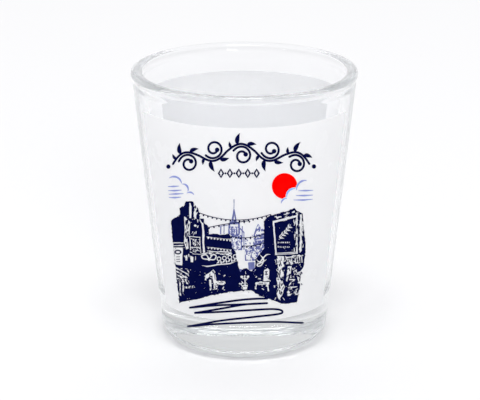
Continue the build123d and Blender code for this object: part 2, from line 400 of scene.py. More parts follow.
# ----------------------------------------------------------
# White panels: two coats of white enamel, screened on to the front and the back of the wall and
# fired. Between them the wall is left clear. The enamel is thin enough to let some light through.
panel_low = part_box("front_coat")[0].z
panel_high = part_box("front_coat")[1].z
panel_half_angle = math.radians(64.0)
panel_thickness = 0.10 * mm
panel_bite = 0.02 * mm          # how far the fired enamel keys into the glass
panel_corner = 0.7 * mm
panel_rows = 40
panel_columns = 160
panel_crisp_angle = math.radians(40)


def wall_film(name, middle):
    """A closed enamel film round part of the wall, with rounded corners."""
    points, faces = [], []
    side = wall_radius((panel_low + panel_high) / 2)
    for lift in (panel_thickness, -panel_bite):
        for row in range(panel_rows + 1):
            ease = (1 - math.cos(math.pi * row / panel_rows)) / 2
            height = panel_low + (panel_high - panel_low) * ease
            from_edge = min(height - panel_low, panel_high - height, panel_corner)
            inset = panel_corner - math.sqrt(panel_corner**2 - (panel_corner - from_edge) ** 2)
            reach = panel_half_angle - inset / side
            radius = wall_radius(height) + lift
            for column in range(panel_columns + 1):
                turn = middle - reach + 2 * reach * column / panel_columns
                points.append((radius * math.cos(turn), radius * math.sin(turn), height))
    layer = (panel_rows + 1) * (panel_columns + 1)

    def at(row, column):
        return row * (panel_columns + 1) + column

    for row in range(panel_rows):
        for column in range(panel_columns):
            cell = (at(row, column), at(row, column + 1), at(row + 1, column + 1), at(row + 1, column))
            faces.append(cell)
            faces.append([corner + layer for corner in cell[::-1]])
        for column, order in ((0, 1), (panel_columns, -1)):
            low, high = at(row, column), at(row + 1, column)
            faces.append([low, high, high + layer, low + layer][::order])
    for column in range(panel_columns):
        for row, order in ((0, -1), (panel_rows, 1)):
            left, right = at(row, column), at(row, column + 1)
            faces.append([left, right, right + layer, left + layer][::order])
    piece = mesh_piece(name, points, faces)
    piece.data.set_sharp_from_angle(angle=panel_crisp_angle)
    return piece


def fired_coat():
    """Shader group: the skin of a screened and fired colour, mottled where the deposit varies."""
    group, given = new_group("fired coat", {
        "Color": (0.8, 0.8, 0.8, 1), "Thin color": (1, 1, 1, 1), "Mottle": 0.1, "Mottle size": 0.0015,
        "Pinholes": 0.0, "Pinhole size": 0.0004, "Roughness": 0.3, "Roughness change": 0.1,
    }, {"Color": "NodeSocketColor", "Roughness": "NodeSocketFloat", "Height": "NodeSocketFloat"})
    place = add_node(group, "ShaderNodeTexCoord").outputs["Object"]
    cloudy, spotty = (
        add_node(group, "ShaderNodeTexNoise", {
            "Vector": place, "Scale": reckon(group, "DIVIDE", 1.0, given[size]),
            "Detail": detail, "Roughness": 0.55,
        })
        for size, detail in (("Mottle size", 4.0), ("Pinhole size", 1.0))
    )
    mottle = add_node(group, "ShaderNodeMapRange", {"Value": cloudy, "From Min": 0.35, "From Max": 0.75})
    holes = add_node(group, "ShaderNodeMapRange", {"Value": spotty, "From Min": 0.70, "From Max": 0.76})
    open_holes = reckon(group, "MULTIPLY", holes, given["Pinholes"])
    amount = reckon(group, "MULTIPLY", mottle, given["Mottle"])
    colour = add_node(group, "ShaderNodeMix", {
        0: reckon(group, "ADD", amount, open_holes, use_clamp=True),
        6: given["Color"],
        7: given["Thin color"],
    }, data_type="RGBA")
    add_node(group, "NodeGroupOutput", {
        "Color": colour.outputs[2],
        "Roughness": reckon(group, "MULTIPLY_ADD", cloudy, given["Roughness change"], given["Roughness"]),
        "Height": reckon(group, "SUBTRACT", cloudy, open_holes),
    })
    return group


def coat_nodes(nodes, shader, relief, **values):
    """Gives a shader the fired coat's colour, roughness and relief, and returns the coat."""
    coat = add_group(nodes, coat_group, **values)
    bump = add_node(nodes, "ShaderNodeBump", {
        "Strength": relief, "Distance": 0.00005, "Height": coat.outputs["Height"],
    })
    feed(shader, {
        "Base Color": coat.outputs["Color"], "Roughness": coat.outputs["Roughness"], "Normal": bump,
    })
    return coat


coat_group = fired_coat()
white_enamel, nodes, shader = new_material("fired_white", IOR=1.5)
coat_nodes(
    nodes, shader, 0.15,
    Color=(0.994, 0.993, 0.995, 1), Thin_color=(0.975, 0.976, 0.985, 1), Mottle=0.35, Mottle_size=0.006,
    Roughness=0.2, Roughness_change=0.12,
)
glow = add_node(nodes, "ShaderNodeBsdfTranslucent", {"Color": (0.993, 0.993, 0.995, 1)})
thin = add_node(nodes, "ShaderNodeMixShader", {"Fac": 0.50, 1: shader, 2: glow})
feed(nodes.nodes["Material Output"], {"Surface": thin})
for name, node, middle in (("front_panel", "front_coat", -90), ("back_panel", "back_coat", 90)):
    panel = wall_film(name, math.radians(middle))
    panel.data.materials.append(white_enamel)
    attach(panel, "root")
    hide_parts(node)

# ----------------------------------------------------------
# Red sun: a flat disc of ink, cut away where the cloud in front of it goes. As all the inks it is
# a thin film, screened on to the panel from flat artwork that is drawn here in millimetres, from
# the panel's middle, with u to the right and v up the slope of an eye that looks at the glass.
ink_thickness = 0.05 * mm
ink_bite = 0.01 * mm            # how far a film keys into what it lies on
fold_pitch = (0.9, 3.5)         # how often a film may bend, round the wall and up it
closest_corners = 1e-5          # corners nearer than this become one
crisp_angle = math.radians(40)  # a film's rim stays a crisp edge
drawback = 0.1                  # how far areas that only touch are drawn apart, as a share
art_origin_height = (panel_low + panel_high) / 2
art_origin = Vector((0, -wall_radius(art_origin_height), art_origin_height))
art_up = Vector((0, math.sin(look_down), math.cos(look_down)))
sun_centre = (8.3, 8.4)
sun_radius = 2.65
sun_cloud_gap = 0.04
cloud_pen = 0.38
right_lobes = [(12.65, 7.75, 1.85, 84, 100), (10.3, 6.35, 1.55, 82, 104), (8.75, 4.75, 1.15, 88, 84)]
draw = random.Random(7)


def on_wall(flat, lift):
    """Points of the flat artwork in millimetres, carried along the line of sight on to the wall."""
    u, v = (np.array([point[axis] for point in flat]) * mm for axis in (0, 1))
    x, y = u, art_origin.y + v * art_up.y
    z = art_origin.z + v * art_up.z
    away = foot_radius + flare * z + lift
    a = sight_line.y**2 - (flare * sight_line.z) ** 2
    b = y * sight_line.y - away * flare * sight_line.z
    c = x**2 + y**2 - away**2
    travel = (-b - np.sqrt(b**2 - a * c)) / a
    return np.stack([x, y + travel * sight_line.y, z + travel * sight_line.z], axis=1)


def counter_clockwise(outline):
    """The outline, turned round if it runs clockwise."""
    area = sum(a[0] * b[1] - b[0] * a[1] for a, b in zip(outline, [*outline[1:], outline[0]]))
    return outline if area > 0 else outline[::-1]


def part_where_only_touching(cells, places):
    """Gives inked areas that meet in a single point a corner each, drawn back into its own area."""
    around = {}
    for cell in cells:
        for corner in cell:
            around.setdefault(corner, []).append(cell)
    for corner, waiting in around.items():
        while waiting:
            fan = [waiting.pop()]
            for cell in fan:
                joined = [other for other in waiting if len({*cell} & {*other}) > 1]
                fan += joined
                waiting[:] = [other for other in waiting if other not in joined]
            if waiting:
                middle = np.mean([places[point] for cell in fan for point in cell], axis=0)
                places.append(places[corner].lerp(Vector(middle), drawback))
                for cell in fan:
                    cell[cell.index(corner)] = len(places) - 1


def laid_film(name, shapes, material, thickness=ink_thickness):
    """A closed film from flat shapes, each (outline, inked), where the last one on top decides."""
    corners, loops = [], []
    for outline, _ in shapes:
        loops.append(list(range(len(corners), len(corners) + len(outline))))
        corners += [tuple(point) for point in counter_clockwise(outline)]
    low, high = np.min(corners, axis=0), np.max(corners, axis=0)
    folds = []
    for axis, pitch in enumerate(fold_pitch):
        for place in np.arange(low[axis] + pitch / 2, high[axis], pitch):
            ends = [[low[0], low[1]], [high[0], high[1]]]
            ends[0][axis] = ends[1][axis] = place
            folds.append((len(corners), len(corners) + 1))
            corners += [tuple(end) for end in ends]
    flat, _, cells, _, _, sources = delaunay_2d_cdt(
        [Vector(corner) for corner in corners], folds, loops, 0, closest_corners
    )
    inked = [cell for cell, over in zip(cells, sources) if over and shapes[max(over)][1]]
    used = sorted({corner for cell in inked for corner in cell})
    number = {corner: place for place, corner in enumerate(used)}
    inked = [[number[corner] for corner in cell] for cell in inked]
    flat = [flat[corner] for corner in used]
    part_where_only_touching(inked, flat)
    top = on_wall(flat, panel_thickness + thickness)
    on_panel = np.array(top[:, 2] > panel_low)
    under = np.where(
        on_panel[:, None], on_wall(flat, panel_thickness - ink_bite), on_wall(flat, -ink_bite)
    )
    count = len(flat)
    sides = {(a, b) for cell in inked for a, b in zip(cell, [*cell[1:], cell[0]])}
    faces = [*inked, *([corner + count for corner in cell[::-1]] for cell in inked)]
    faces += [(a, a + count, b + count, b) for a, b in sides if (b, a) not in sides]
    piece = mesh_piece(name, [*top, *under], faces)
    piece.data.set_sharp_from_angle(angle=crisp_angle)
    piece.data.materials.append(material)
    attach(piece, "root")
    return piece


def arc(centre, radius, start, sweep, steps=24):
    """Points along an arc, from a start angle through a sweep in degrees."""
    turns = [math.radians(start + sweep * step / steps) for step in range(steps + 1)]
    return [(centre[0] + radius * math.cos(turn), centre[1] + radius * math.sin(turn)) for turn in turns]


def disc(centre, radius, steps=24):
    """A round outline."""
    return arc(centre, radius, 0, 360, steps)[:-1]


def roughened(outline, pitch=0.45, depth=0.05):
    """The outline with its long edges divided and every point shifted, as a hand-cut edge is."""
    rough = []
    for start, end in zip(outline, [*outline[1:], outline[0]]):
        length = math.dist(start, end)
        pieces = max(1, round(length / pitch))
        for piece in range(pieces):
            share = piece / pieces
            rough.append((
                start[0] + (end[0] - start[0]) * share + draw.uniform(-depth, depth),
                start[1] + (end[1] - start[1]) * share + draw.uniform(-depth, depth),
            ))
    return rough


red_ink, nodes, shader = new_material("sun_red", Specular_IOR_Level=0.0)
coat_nodes(
    nodes, shader, 0.2,
    Color=(1.0, 0.0, 0.0, 1), Thin_color=(1.0, 0.012, 0.008, 1), Mottle=0.25, Mottle_size=0.0012,
    Pinholes=0.2, Pinhole_size=0.0003, Roughness=0.4, Roughness_change=0.1,
)
sun_shapes = [(disc(sun_centre, sun_radius, 96), True)]
sun_shapes += [
    (disc((u, v), radius + cloud_pen / 2 + sun_cloud_gap, 72), False) for u, v, radius, _, _ in right_lobes
]
sun = laid_film("sun", sun_shapes, red_ink)
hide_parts("sun_print")

# ----------------------------------------------------------
# Two clouds: each is three scalloped lines and a few flat hatch strokes in one blue ink, drawn
# with a brush that starts and ends thin.
left_lobes = [(-14.7, 8.7, 1.70, 10, 112), (-12.75, 7.75, 1.10, -22, 118), (-11.35, 6.15, 1.00, 30, 95)]
left_hatch = [(-15.95, -13.6, 8.35), (-15.9, -13.1, 7.5), (-15.8, -12.7, 6.75), (-15.8, -13.2, 6.05)]
right_hatch = [(11.2, 14.3, 7.45), (10.7, 14.25, 6.45), (10.2, 14.2, 5.55)]
hatch_pen = 0.34
hatch_slope = 0.035


def brush(points, width, thin_start=0.0, thin_end=0.0):
    """One stroke as joined four-sided pieces with round ends. Its ends may thin over a length."""
    points = [Vector(point) for point in points]
    along = [0.0]
    for start, end in zip(points, points[1:]):
        along.append(along[-1] + (end - start).length)
    left, right, half_widths = [], [], []
    for number, point in enumerate(points):
        before = points[max(number - 1, 0)]
        after = points[min(number + 1, len(points) - 1)]
        side = (after - before).normalized().orthogonal()
        share = 1.0
        if thin_start:
            share = min(share, 0.3 + 0.7 * along[number] / thin_start)
        if thin_end:
            share = min(share, 0.3 + 0.7 * (along[-1] - along[number]) / thin_end)
        half_width = width / 2 * share
        left.append(point + side * half_width)
        right.append(point - side * half_width)
        half_widths.append(half_width)
    parts = [
        ([left[n], right[n], right[n + 1], left[n + 1]], True) for n in range(len(points) - 1)
    ]
    for end in (0, -1):
        parts.append((disc(points[end], half_widths[end], 12), True))
    return parts


def cloud_shapes(lobes, hatch):
    """A cloud as scalloped lobes with flat hatch strokes under them."""
    shapes = []
    for u, v, radius, start, sweep in lobes:
        shapes += brush(arc((u, v), radius, start, sweep, 20), cloud_pen, 0.9, 0.9)
    for left, right, v in hatch:
        middle = ((left + right) / 2, v + draw.uniform(-0.03, 0.10))
        end = (right, v + (right - left) * hatch_slope)
        shapes += brush([(left, v), middle, end], hatch_pen, 0.5, 1.2)
    return shapes


blue_ink, nodes, shader = new_material("cloud_blue", Specular_IOR_Level=0.0)
coat = coat_nodes(
    nodes, shader, 0.2,
    Color=(0.25, 0.30, 0.64, 1), Thin_color=(0.42, 0.48, 0.80, 1), Mottle=0.5, Mottle_size=0.0012,
    Roughness=0.4, Roughness_change=0.1,
)
place = add_node(nodes, "ShaderNodeTexCoord").outputs["Object"]
sun_place = on_wall([sun_centre], panel_thickness)[0]
from_sun = add_node(nodes, "ShaderNodeVectorMath", {0: place, 1: sun_place}, operation="DISTANCE")
near_sun = add_node(nodes, "ShaderNodeMapRange", {
    "Value": from_sun.outputs["Value"], "From Min": 2.4 * mm, "From Max": 3.4 * mm,
})
tinted = add_node(nodes, "ShaderNodeMix", {
    0: near_sun, 6: (0.22, 0.50, 0.98, 1), 7: (0.25, 0.30, 0.64, 1),
}, data_type="RGBA")
feed(coat, {"Color": tinted.outputs[2]})
for name, node, lobes, hatch in (
    ("left_cloud", "left_cloud_print", left_lobes, left_hatch),
    ("right_cloud", "right_cloud_print", right_lobes, right_hatch),
):
    cloud = laid_film(name, cloud_shapes(lobes, hatch), blue_ink)
    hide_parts(node)

# ----------------------------------------------------------
# Scroll border: a navy vine on an arch over the scene, where the maker's lettering would stand. It
# has one bay five times over, turned up and down by turns: a waving stem, a long curl that ends in
# a bud, and three leaves.
scroll_pen = 0.45
scroll_arch_radius = 40.0
scroll_crest = (-0.7, 15.45)    # the arch's own highest point
scroll_bays = 5
scroll_bay_length = 5.75
stem_rise = 1.5
curl_centre = (0.3, -0.9)
curl_radius = (2.1, 0.72)       # outside and inside of the curl
curl_start = 150
curl_turns = 1.35
bud_radius = 0.46
leaf_bend = 38
bay_leaves = [(0.40, 118, 2.3, 0.95), (0.72, 44, 1.9, 0.85), (0.18, 152, 1.3, 0.65)]
end_dot_radius = 0.45
end_dot_gap = 1.6               # how far a dot stands past its end of the arch, in degrees


def stem_point(share):
    """A point of the waving stem, from 0 at one end of the bay to 1 at the other."""
    return (share - 0.5) * scroll_bay_length, stem_rise * math.sin(math.pi * share)


def curl_line(steps=44):
    """The curl, a spiral that winds in clockwise from its outside."""
    line = []
    for step in range(steps + 1):
        share = step / steps
        turn = math.radians(curl_start) - 2 * math.pi * curl_turns * share
        radius = curl_radius[0] + (curl_radius[1] - curl_radius[0]) * share**0.8
        line.append((curl_centre[0] + radius * math.cos(turn), curl_centre[1] + radius * math.sin(turn)))
    return line


def leaf(foot, heading, length, width, steps=12):
    """A pointed leaf that grows from a foot along a heading in degrees, and bends as it goes."""
    edges = ([], [])
    for step in range(steps + 1):
        share = step / steps
        turn = math.radians(heading - leaf_bend * share)
        spine = Vector(foot) + Vector((math.cos(turn), math.sin(turn))) * length * share
        swell = width / 2 * math.sin(math.pi * share**0.75)
        side = Vector((-math.sin(turn), math.cos(turn))) * max(swell, 0.02)
        edges[0].append(tuple(spine + side))
        edges[1].append(tuple(spine - side))
    return [*edges[0], *edges[1][::-1]]


def repeating_tree():
    """Sets a motif at even steps along a path, facing along it, each second one scaled across."""
    tree, given = new_tree("repeated on a path", {
        "Motif": "NodeSocketObject",
        "Count": "NodeSocketInt",
        "Second scale": "NodeSocketFloat",
        "Material": "NodeSocketMaterial",
    })
    path = add_node(tree, "GeometryNodeMeshToCurve", {"Mesh": given["Geometry"]})
    stations = add_node(tree, "GeometryNodeCurveToPoints", {
        "Curve": path, "Count": given["Count"],
    }, mode="COUNT")
    motif = add_node(tree, "GeometryNodeObjectInfo", {"Object": given["Motif"]})
    facing = add_node(tree, "FunctionNodeAlignRotationToVector", {
        "Vector": stations.outputs["Tangent"],
    }, axis="X", pivot_axis="Z")
    second = reckon(tree, "MODULO", add_node(tree, "GeometryNodeInputIndex"), 2.0)
    change = reckon(tree, "ADD", given["Second scale"], -1.0)
    scale = add_node(tree, "ShaderNodeCombineXYZ", {
        "X": 1.0, "Y": reckon(tree, "MULTIPLY_ADD", second, change, 1.0), "Z": 1.0,
    })
    copies = add_node(tree, "GeometryNodeInstanceOnPoints", {
        "Points": stations, "Instance": motif.outputs["Geometry"], "Rotation": facing, "Scale": scale,
    })
    return end_tree(tree, copies, given["Material"])


def repeated(shapes, path, count, material, second_scale=1.0):
    """Flat shapes repeated along a flat path by the tree, as new flat shapes."""
    points, faces = [], []
    for outline, _ in shapes:
        faces.append(range(len(points), len(points) + len(outline)))
        points += [(point[0], point[1], 0) for point in outline]
    motif = mesh_piece("motif", points, faces)
    line = mesh_piece(
        "path", [(u, v, 0) for u, v in path], [], edges=[(n, n + 1) for n in range(len(path) - 1)]
    )
    run_tree(line, repeats, {
        "Motif": motif, "Count": count, "Second scale": second_scale, "Material": material,
    })
    vertices = line.data.vertices
    copies = [
        ([tuple(vertices[corner].co.xy) for corner in face.vertices], True) for face in line.data.polygons
    ]
    for spare in (motif, line):
        bpy.data.objects.remove(spare)
    return copies


navy_ink, nodes, shader = new_material("navy_print", Specular_IOR_Level=0.0)
coat_nodes(
    nodes, shader, 0.25,
    Color=(0.0015, 0.0030, 0.040, 1), Thin_color=(0.006, 0.009, 0.075, 1), Mottle=0.3,
    Mottle_size=0.0015, Pinholes=0.25, Pinhole_size=0.00028, Roughness=0.45, Roughness_change=0.1,
)
repeats = repeating_tree()
bay = brush([stem_point(step / 20) for step in range(21)], scroll_pen)
bay += brush(curl_line(), scroll_pen)
bay.append((disc(curl_line()[-1], bud_radius), True))
for share, heading, length, width in bay_leaves:
    bay.append((leaf(stem_point(share), heading, length, width), True))
bay_angle = math.degrees(scroll_bay_length / scroll_arch_radius)
arch_centre = (scroll_crest[0], scroll_crest[1] - scroll_arch_radius)
half_arch = bay_angle * (scroll_bays - 1) / 2
arch = arc(arch_centre, scroll_arch_radius, 90 + half_arch, -2 * half_arch, 60)
scroll_shapes = repeated(bay, arch, scroll_bays, navy_ink, second_scale=-1.0)
for end in (1, -1):
    arch_end = 90 + end * bay_angle * scroll_bays / 2
    dot = arc(arch_centre, scroll_arch_radius, arch_end, end * end_dot_gap, 1)[-1]
    scroll_shapes.append((disc(dot, end_dot_radius), True))
scroll = laid_film("scroll_border", scroll_shapes, navy_ink)
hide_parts("scroll_print")

# ----------------------------------------------------------
# Row of lozenges: under the arch, open lozenges and dots by turns in the same navy ink.
row_centre = (-1.15, 11.0)
row_length = 7.3
row_lozenges = 5
lozenge_size = (0.68, 1.0)      # half width and half height
lozenge_line = 0.40
row_dot = 0.20


def lozenge(inset):
    """A lozenge outline, drawn in from the full size by an inset."""
    half_width, half_height = (size - inset for size in lozenge_size)
    return [(half_width, 0), (0, half_height), (-half_width, 0), (0, -half_height)]


def bare(shapes):
    """The same shapes, left bare."""
    return [(outline, False) for outline, _ in shapes]


def row_path(length):
    """A level path of that length through the middle of the row."""
    return [(row_centre[0] - length / 2, row_centre[1]), (row_centre[0] + length / 2, row_centre[1])]


row = row_path(row_length)
gap = row_length / (row_lozenges - 1)
row_shapes = repeated([(lozenge(0), True)], row, row_lozenges, navy_ink)
row_shapes += bare(repeated([(lozenge(lozenge_line), True)], row, row_lozenges, navy_ink))
dot = [(disc((0, 0), row_dot, 16), True)]
row_shapes += repeated(dot, row_path(row_length - gap), row_lozenges - 1, navy_ink)
ornament = laid_film("ornament_row", row_shapes, navy_ink)
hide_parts("ornament_print")

# ----------------------------------------------------------
# Street: the scene's main block, one joined film of the navy ink. It is drawn as a lino cut: a
# dark mass with a ragged edge, out of which windows, boards, awnings and shop fronts are left bare.
street_edge = [
    (-13.9, -16.4), (-14.3, -12.0), (-14.7, -8.2), (-15.1, -3.6), (-15.5, 1.0), (-15.0, 1.6),
    (-13.5, 2.4), (-13.5, 3.7), (-13.0, 4.3), (-12.7, 4.2), (-12.1, 5.3), (-10.9, 5.4), (-10.2, 4.5),
    (-9.5, 3.5), (-9.3, 2.8), (-9.3, 1.7), (-8.5, 1.6), (-8.3, 0.6), (-7.7, 0.3), (-7.3, -1.5),
    (-4.0, -1.7), (-3.4, -1.4), (-2.9, -2.0), (-2.6, -4.2), (-1.8, -5.5), (-1.4, -7.6), (-0.9, -9.5),
    (-0.3, -8.8), (0.5, -8.7), (1.5, -9.3), (2.2, -8.6), (2.3, -6.9), (3.3, -5.6), (4.1, -4.4),
    (4.0, 1.1), (5.0, 2.2), (7.2, 2.9), (8.8, 3.2), (10.3, 3.9), (10.9, 3.3), (12.2, 2.7),
    (12.5, -0.5), (12.9, -5.0), (12.5, -8.4), (12.0, -9.2), (11.8, -12.5), (11.1, -16.2),
    (7.9, -16.4), (5.8, -15.5), (3.7, -14.8), (1.4, -13.4), (-1.5, -13.6), (-5.1, -14.1), (-9.5, -15.3),
]


def bar(start, end, width):
    """A straight bar between two points."""
    start, end = Vector(start), Vector(end)
    side = (end - start).normalized().orthogonal() * width / 2
    return [tuple(point) for point in (start + side, start - side, end - side, end + side)]


def block(left, right, low, high):
    """An upright rectangle."""
    return [(left, low), (right, low), (right, high), (left, high)]


def oval(centre, half_width, half_height, steps=24):
    """An upright oval outline."""
    return [
        (centre[0] + u * half_width, centre[1] + v * half_height) for u, v in disc((0, 0), 1.0, steps)
    ]


def cut(*outlines, depth=0.035):
    """Hand-cut bare shapes."""
    return [(roughened(outline, depth=depth), False) for outline in outlines]


def left_standing(*outlines, depth=0.02):
    """Hand-cut inked shapes inside a bare one."""
    return [(roughened(outline, depth=depth), True) for outline in outlines]


def flecks(left, right, low, high, count, heading, size=0.7, inked=False, spread=14):
    """Short rough strokes strewn over a field, about along a heading in degrees."""
    strokes = []
    for _ in range(count):
        turn = math.radians(heading + draw.uniform(-spread, spread))
        reach = Vector((math.cos(turn), math.sin(turn))) * size * draw.uniform(0.2, 0.6)
        middle = Vector((draw.uniform(left, right), draw.uniform(low, high)))
        stroke = bar(middle - reach, middle + reach, draw.uniform(0.10, 0.24))
        strokes.append((roughened(stroke, 0.25, 0.03), inked))
    return strokes


def smooth_line(points, steps=8):
    """A smooth line through the points, which bends evenly from one to the next."""
    points = [Vector(point) for point in points]
    ends = [2 * points[0] - points[1], *points, 2 * points[-1] - points[-2]]
    line = []
    for before, start, end, after in zip(ends, ends[1:], ends[2:], ends[3:]):
        for step in range(steps):
            t = step / steps
            line.append(0.5 * (
                2 * start + (end - before) * t + (2 * before - 5 * start + 4 * end - after) * t**2
                + (3 * start - before - 3 * end + after) * t**3
            ))
    return [*line, points[-1]]


street_outline = roughened(street_edge, 0.4, 0.10)
lino = [(street_outline, True)]

# The tall house on the left: a gabled top with two slots, a pale downpipe and stone sills
lino += cut(
    [(-11.5, 1.8), (-11.05, 1.7), (-10.95, 4.2), (-11.2, 4.9), (-11.45, 4.9)],
    [(-10.4, 1.7), (-10.0, 1.6), (-10.05, 3.6), (-10.35, 4.0)],
    [(-12.6, 2.1), (-12.2, 1.9), (-11.3, 0.9), (-11.5, -1.6), (-11.9, -2.3), (-11.7, -4.6), (-12.2, -4.9),
     (-12.7, -3.4), (-12.5, -0.4)],
    bar((-15.0, -3.5), (-12.8, -3.45), 0.2), bar((-15.0, -4.1), (-12.8, -4.0), 0.2),
    [(-12.45, -7.2), (-12.1, -7.2), (-12.0, -6.1), (-12.3, -6.0)],
    [(-11.3, -7.5), (-10.8, -7.6), (-10.7, -6.4), (-11.4, -6.2)],
    oval((-10.25, 0.2), 0.3, 0.24, 10),
)
lino += left_standing(
    bar((-12.15, 1.3), (-12.0, -0.6), 0.12), bar((-12.1, -1.2), (-12.2, -2.6), 0.14),
    bar((-12.0, -3.3), (-12.15, -4.2), 0.12),
)
lino += flecks(-12.5, -11.5, -4.4, 1.5, 22, 84, 0.9, inked=True)
lino += flecks(-11.3, -9.0, -1.6, 1.6, 7, 70, 0.5)
lino += flecks(-10.9, -9.4, 1.6, 4.8, 9, 80, 0.8)

# A hanging board with an oval badge over three plain rules
lino += cut([(-14.95, -4.5), (-12.95, -4.4), (-13.15, -8.3), (-14.65, -8.1)])
lino += left_standing(oval((-14.05, -5.45), 0.78, 0.5))
lino += cut(oval((-14.05, -5.45), 0.45, 0.24), depth=0.02)
lino += left_standing(
    *(bar((-14.4, level), (-13.6, level + 0.05), 0.16) for level in (-6.5, -7.0, -7.5))
)

# The window over the first awning, with its glazing bars, and a pale pilaster beside it
lino += cut(
    bar((-11.7, -2.05), (-9.2, -2.25), 0.2), bar((-11.45, -2.0), (-11.3, -5.0), 0.24),
    bar((-11.3, -4.35), (-9.2, -4.45), 0.18), bar((-10.9, -5.75), (-9.0, -5.85), 0.14),
    [(-10.85, -2.6), (-9.35, -2.65), (-9.3, -3.95), (-10.8, -3.9)], bar((-9.3, -2.3), (-9.15, -5.6), 0.16),
)
lino += left_standing(
    *(bar((u, -3.95), (u + 0.15, -2.6), 0.17) for u in (-10.5, -10.05, -9.65)),
    *(bar((-10.9, v), (-9.3, v - 0.05), 0.15) for v in (-3.0, -3.45)),
)
lino += flecks(-11.2, -9.3, -5.6, -2.2, 22, 0, 0.5, spread=90)
lino += flecks(-11.2, -9.3, -4.2, -2.4, 16, 60, 0.35, inked=True, spread=60)
lino += flecks(-9.1, -8.3, -5.5, 0.6, 14, 88, 0.6, inked=True)
lino += cut(
    [(-8.95, 0.9), (-8.55, 0.8), (-8.3, -1.4), (-8.4, -3.6), (-8.2, -5.4), (-8.65, -5.6), (-8.8, -3.0),
     (-8.75, -1.0)],
    bar((-9.3, 1.5), (-8.6, 0.2), 0.22), bar((-9.0, -5.75), (-7.6, -5.5), 0.24),
)

# Two awnings across the street, each with a toothed hem
hem_teeth = 8
for hem, size in (([(-7.5, -2.25), (-2.95, -2.75)], 0.24), ([(-7.5, -4.4), (-2.9, -4.9)], 0.22)):
    low = (0.5 * size, -1.3 * size)
    tooth = [(-size, 0.04), (-low[0], low[1]), low, (size, 0.04)]
    lino += bare(repeated([(tooth, True)], hem, hem_teeth, navy_ink))
lino += cut(
    bar((-7.9, -2.12), (-2.8, -2.62), 0.09), bar((-7.9, -4.25), (-2.7, -4.8), 0.09),
    bar((-7.8, -5.1), (-5.6, -5.3), 0.16), bar((-5.3, -5.2), (-3.2, -5.3), 0.26),
    bar((-5.1, -5.75), (-2.6, -5.65), 0.2), depth=0.03,
)
lino += flecks(-7.6, -2.7, -6.0, -5.1, 16, 4, 0.8)

# A ribbon garland hung between the two sides: a bow, a swag of rosettes and two tails
swag = smooth_line([(-8.9, -8.2), (-7.6, -8.35), (-5.4, -7.95), (-3.2, -7.75), (-1.7, -7.2)])
lino += bare(brush(swag, 0.26, 1.2, 1.2))
knot = (-7.4, -6.9)
bow_stations = ((1.3, 1.3, 22), (1.7, 1.5, 0), (1.1, 1.1, -30))  # reach across, reach up, turn
for heading in (150, 30):
    loop = [knot]
    for across, up, turn in bow_stations:
        turn = math.radians(heading + turn)
        loop.append((knot[0] + across * math.cos(turn), knot[1] + up * math.sin(turn)))
    lino += bare(brush(smooth_line([*loop, knot]), 0.26))
lino += bare([(disc(knot, 0.3, 14), True)])
rosette = brush(arc((0, 0.1), 0.4, 0, 360, 16), 0.2)
for foot, heading in (((-0.1, -0.35), 255), ((0.2, -0.35), 310)):
    rosette.append((leaf(foot, heading, 0.75, 0.35), True))
lino += bare(repeated(rosette, [(-5.3, -6.85), (-1.9, -6.35)], 4, navy_ink))
for tail, width, thinned in (
    ([(2.5, -6.9), (3.2, -7.4), (3.9, -6.6), (4.6, -5.9), (5.4, -5.8)], 0.28, 0.8),
    ([(3.3, -5.9), (4.0, -6.9), (3.6, -8.0), (2.9, -8.3), (2.7, -7.9), (3.4, -7.6), (4.6, -6.9)], 0.26, 0.6),
):
    lino += bare(brush(smooth_line(tail), width, thinned, thinned))

# The shop front under the awnings: a lit doorway, a counter and its post
lino += cut(
    [(-8.4, -11.3), (-8.2, -10.2), (-7.0, -9.4), (-6.5, -9.0), (-6.1, -9.5), (-5.9, -11.3), (-5.6, -11.6),
     (-4.1, -11.5), (-3.9, -12.0), (-4.2, -12.3), (-5.5, -12.2), (-5.7, -13.2), (-6.4, -13.3), (-6.6, -11.6),
     (-6.8, -10.3), (-7.7, -10.9), (-7.9, -11.4)],
    [(-7.4, -11.3), (-7.0, -11.2), (-6.9, -13.3), (-7.3, -13.5)],
    depth=0.07,
)
lino += left_standing(
    bar((-6.35, -9.6), (-6.15, -11.2), 0.1), bar((-5.4, -11.85), (-4.4, -11.8), 0.14),
    bar((-6.2, -12.3), (-6.0, -13.0), 0.14),
)
lino += flecks(-8.2, -4.0, -13.2, -9.3, 30, 80, 0.5, inked=True, spread=50)
lino += flecks(-8.4, -3.8, -13.4, -9.2, 16, 20, 0.5, spread=60)

# A street lamp with two globes over a planter, and a café table with its menu board
lino += cut(
    bar((0.1, -10.2), (0.1, -12.4), 0.26), bar((-0.5, -10.9), (0.7, -10.9), 0.2),
    [(-0.5, -12.3), (0.75, -12.2), (0.5, -13.2), (-0.25, -13.3)],
    disc((-0.55, -10.55), 0.3, 10), disc((0.75, -10.5), 0.28, 10), disc((-0.95, -12.0), 0.2, 8),
)
lino += left_standing(bar((-0.2, -12.6), (0.45, -12.55), 0.14))
lino += flecks(-0.6, 0.8, -13.0, -9.3, 12, 90, 0.6, spread=40)
lino += cut(
    [(2.2, -12.2), (2.3, -11.7), (5.2, -11.6), (5.2, -12.2)], bar((2.5, -12.1), (2.3, -13.2), 0.25),
    bar((4.9, -12.1), (5.0, -13.7), 0.3), [(4.0, -11.5), (4.1, -9.1), (4.8, -8.7), (5.2, -9.0), (5.1, -11.4)],
    depth=0.06,
)
lino += left_standing(
    *(bar((4.3, level), (4.9, level + 0.1), 0.16) for level in (-9.5, -10.1, -10.7)),
    bar((2.9, -11.95), (4.6, -11.9), 0.1),
)
lino += flecks(2.0, 5.3, -13.2, -9.0, 16, 10, 0.5, spread=60)
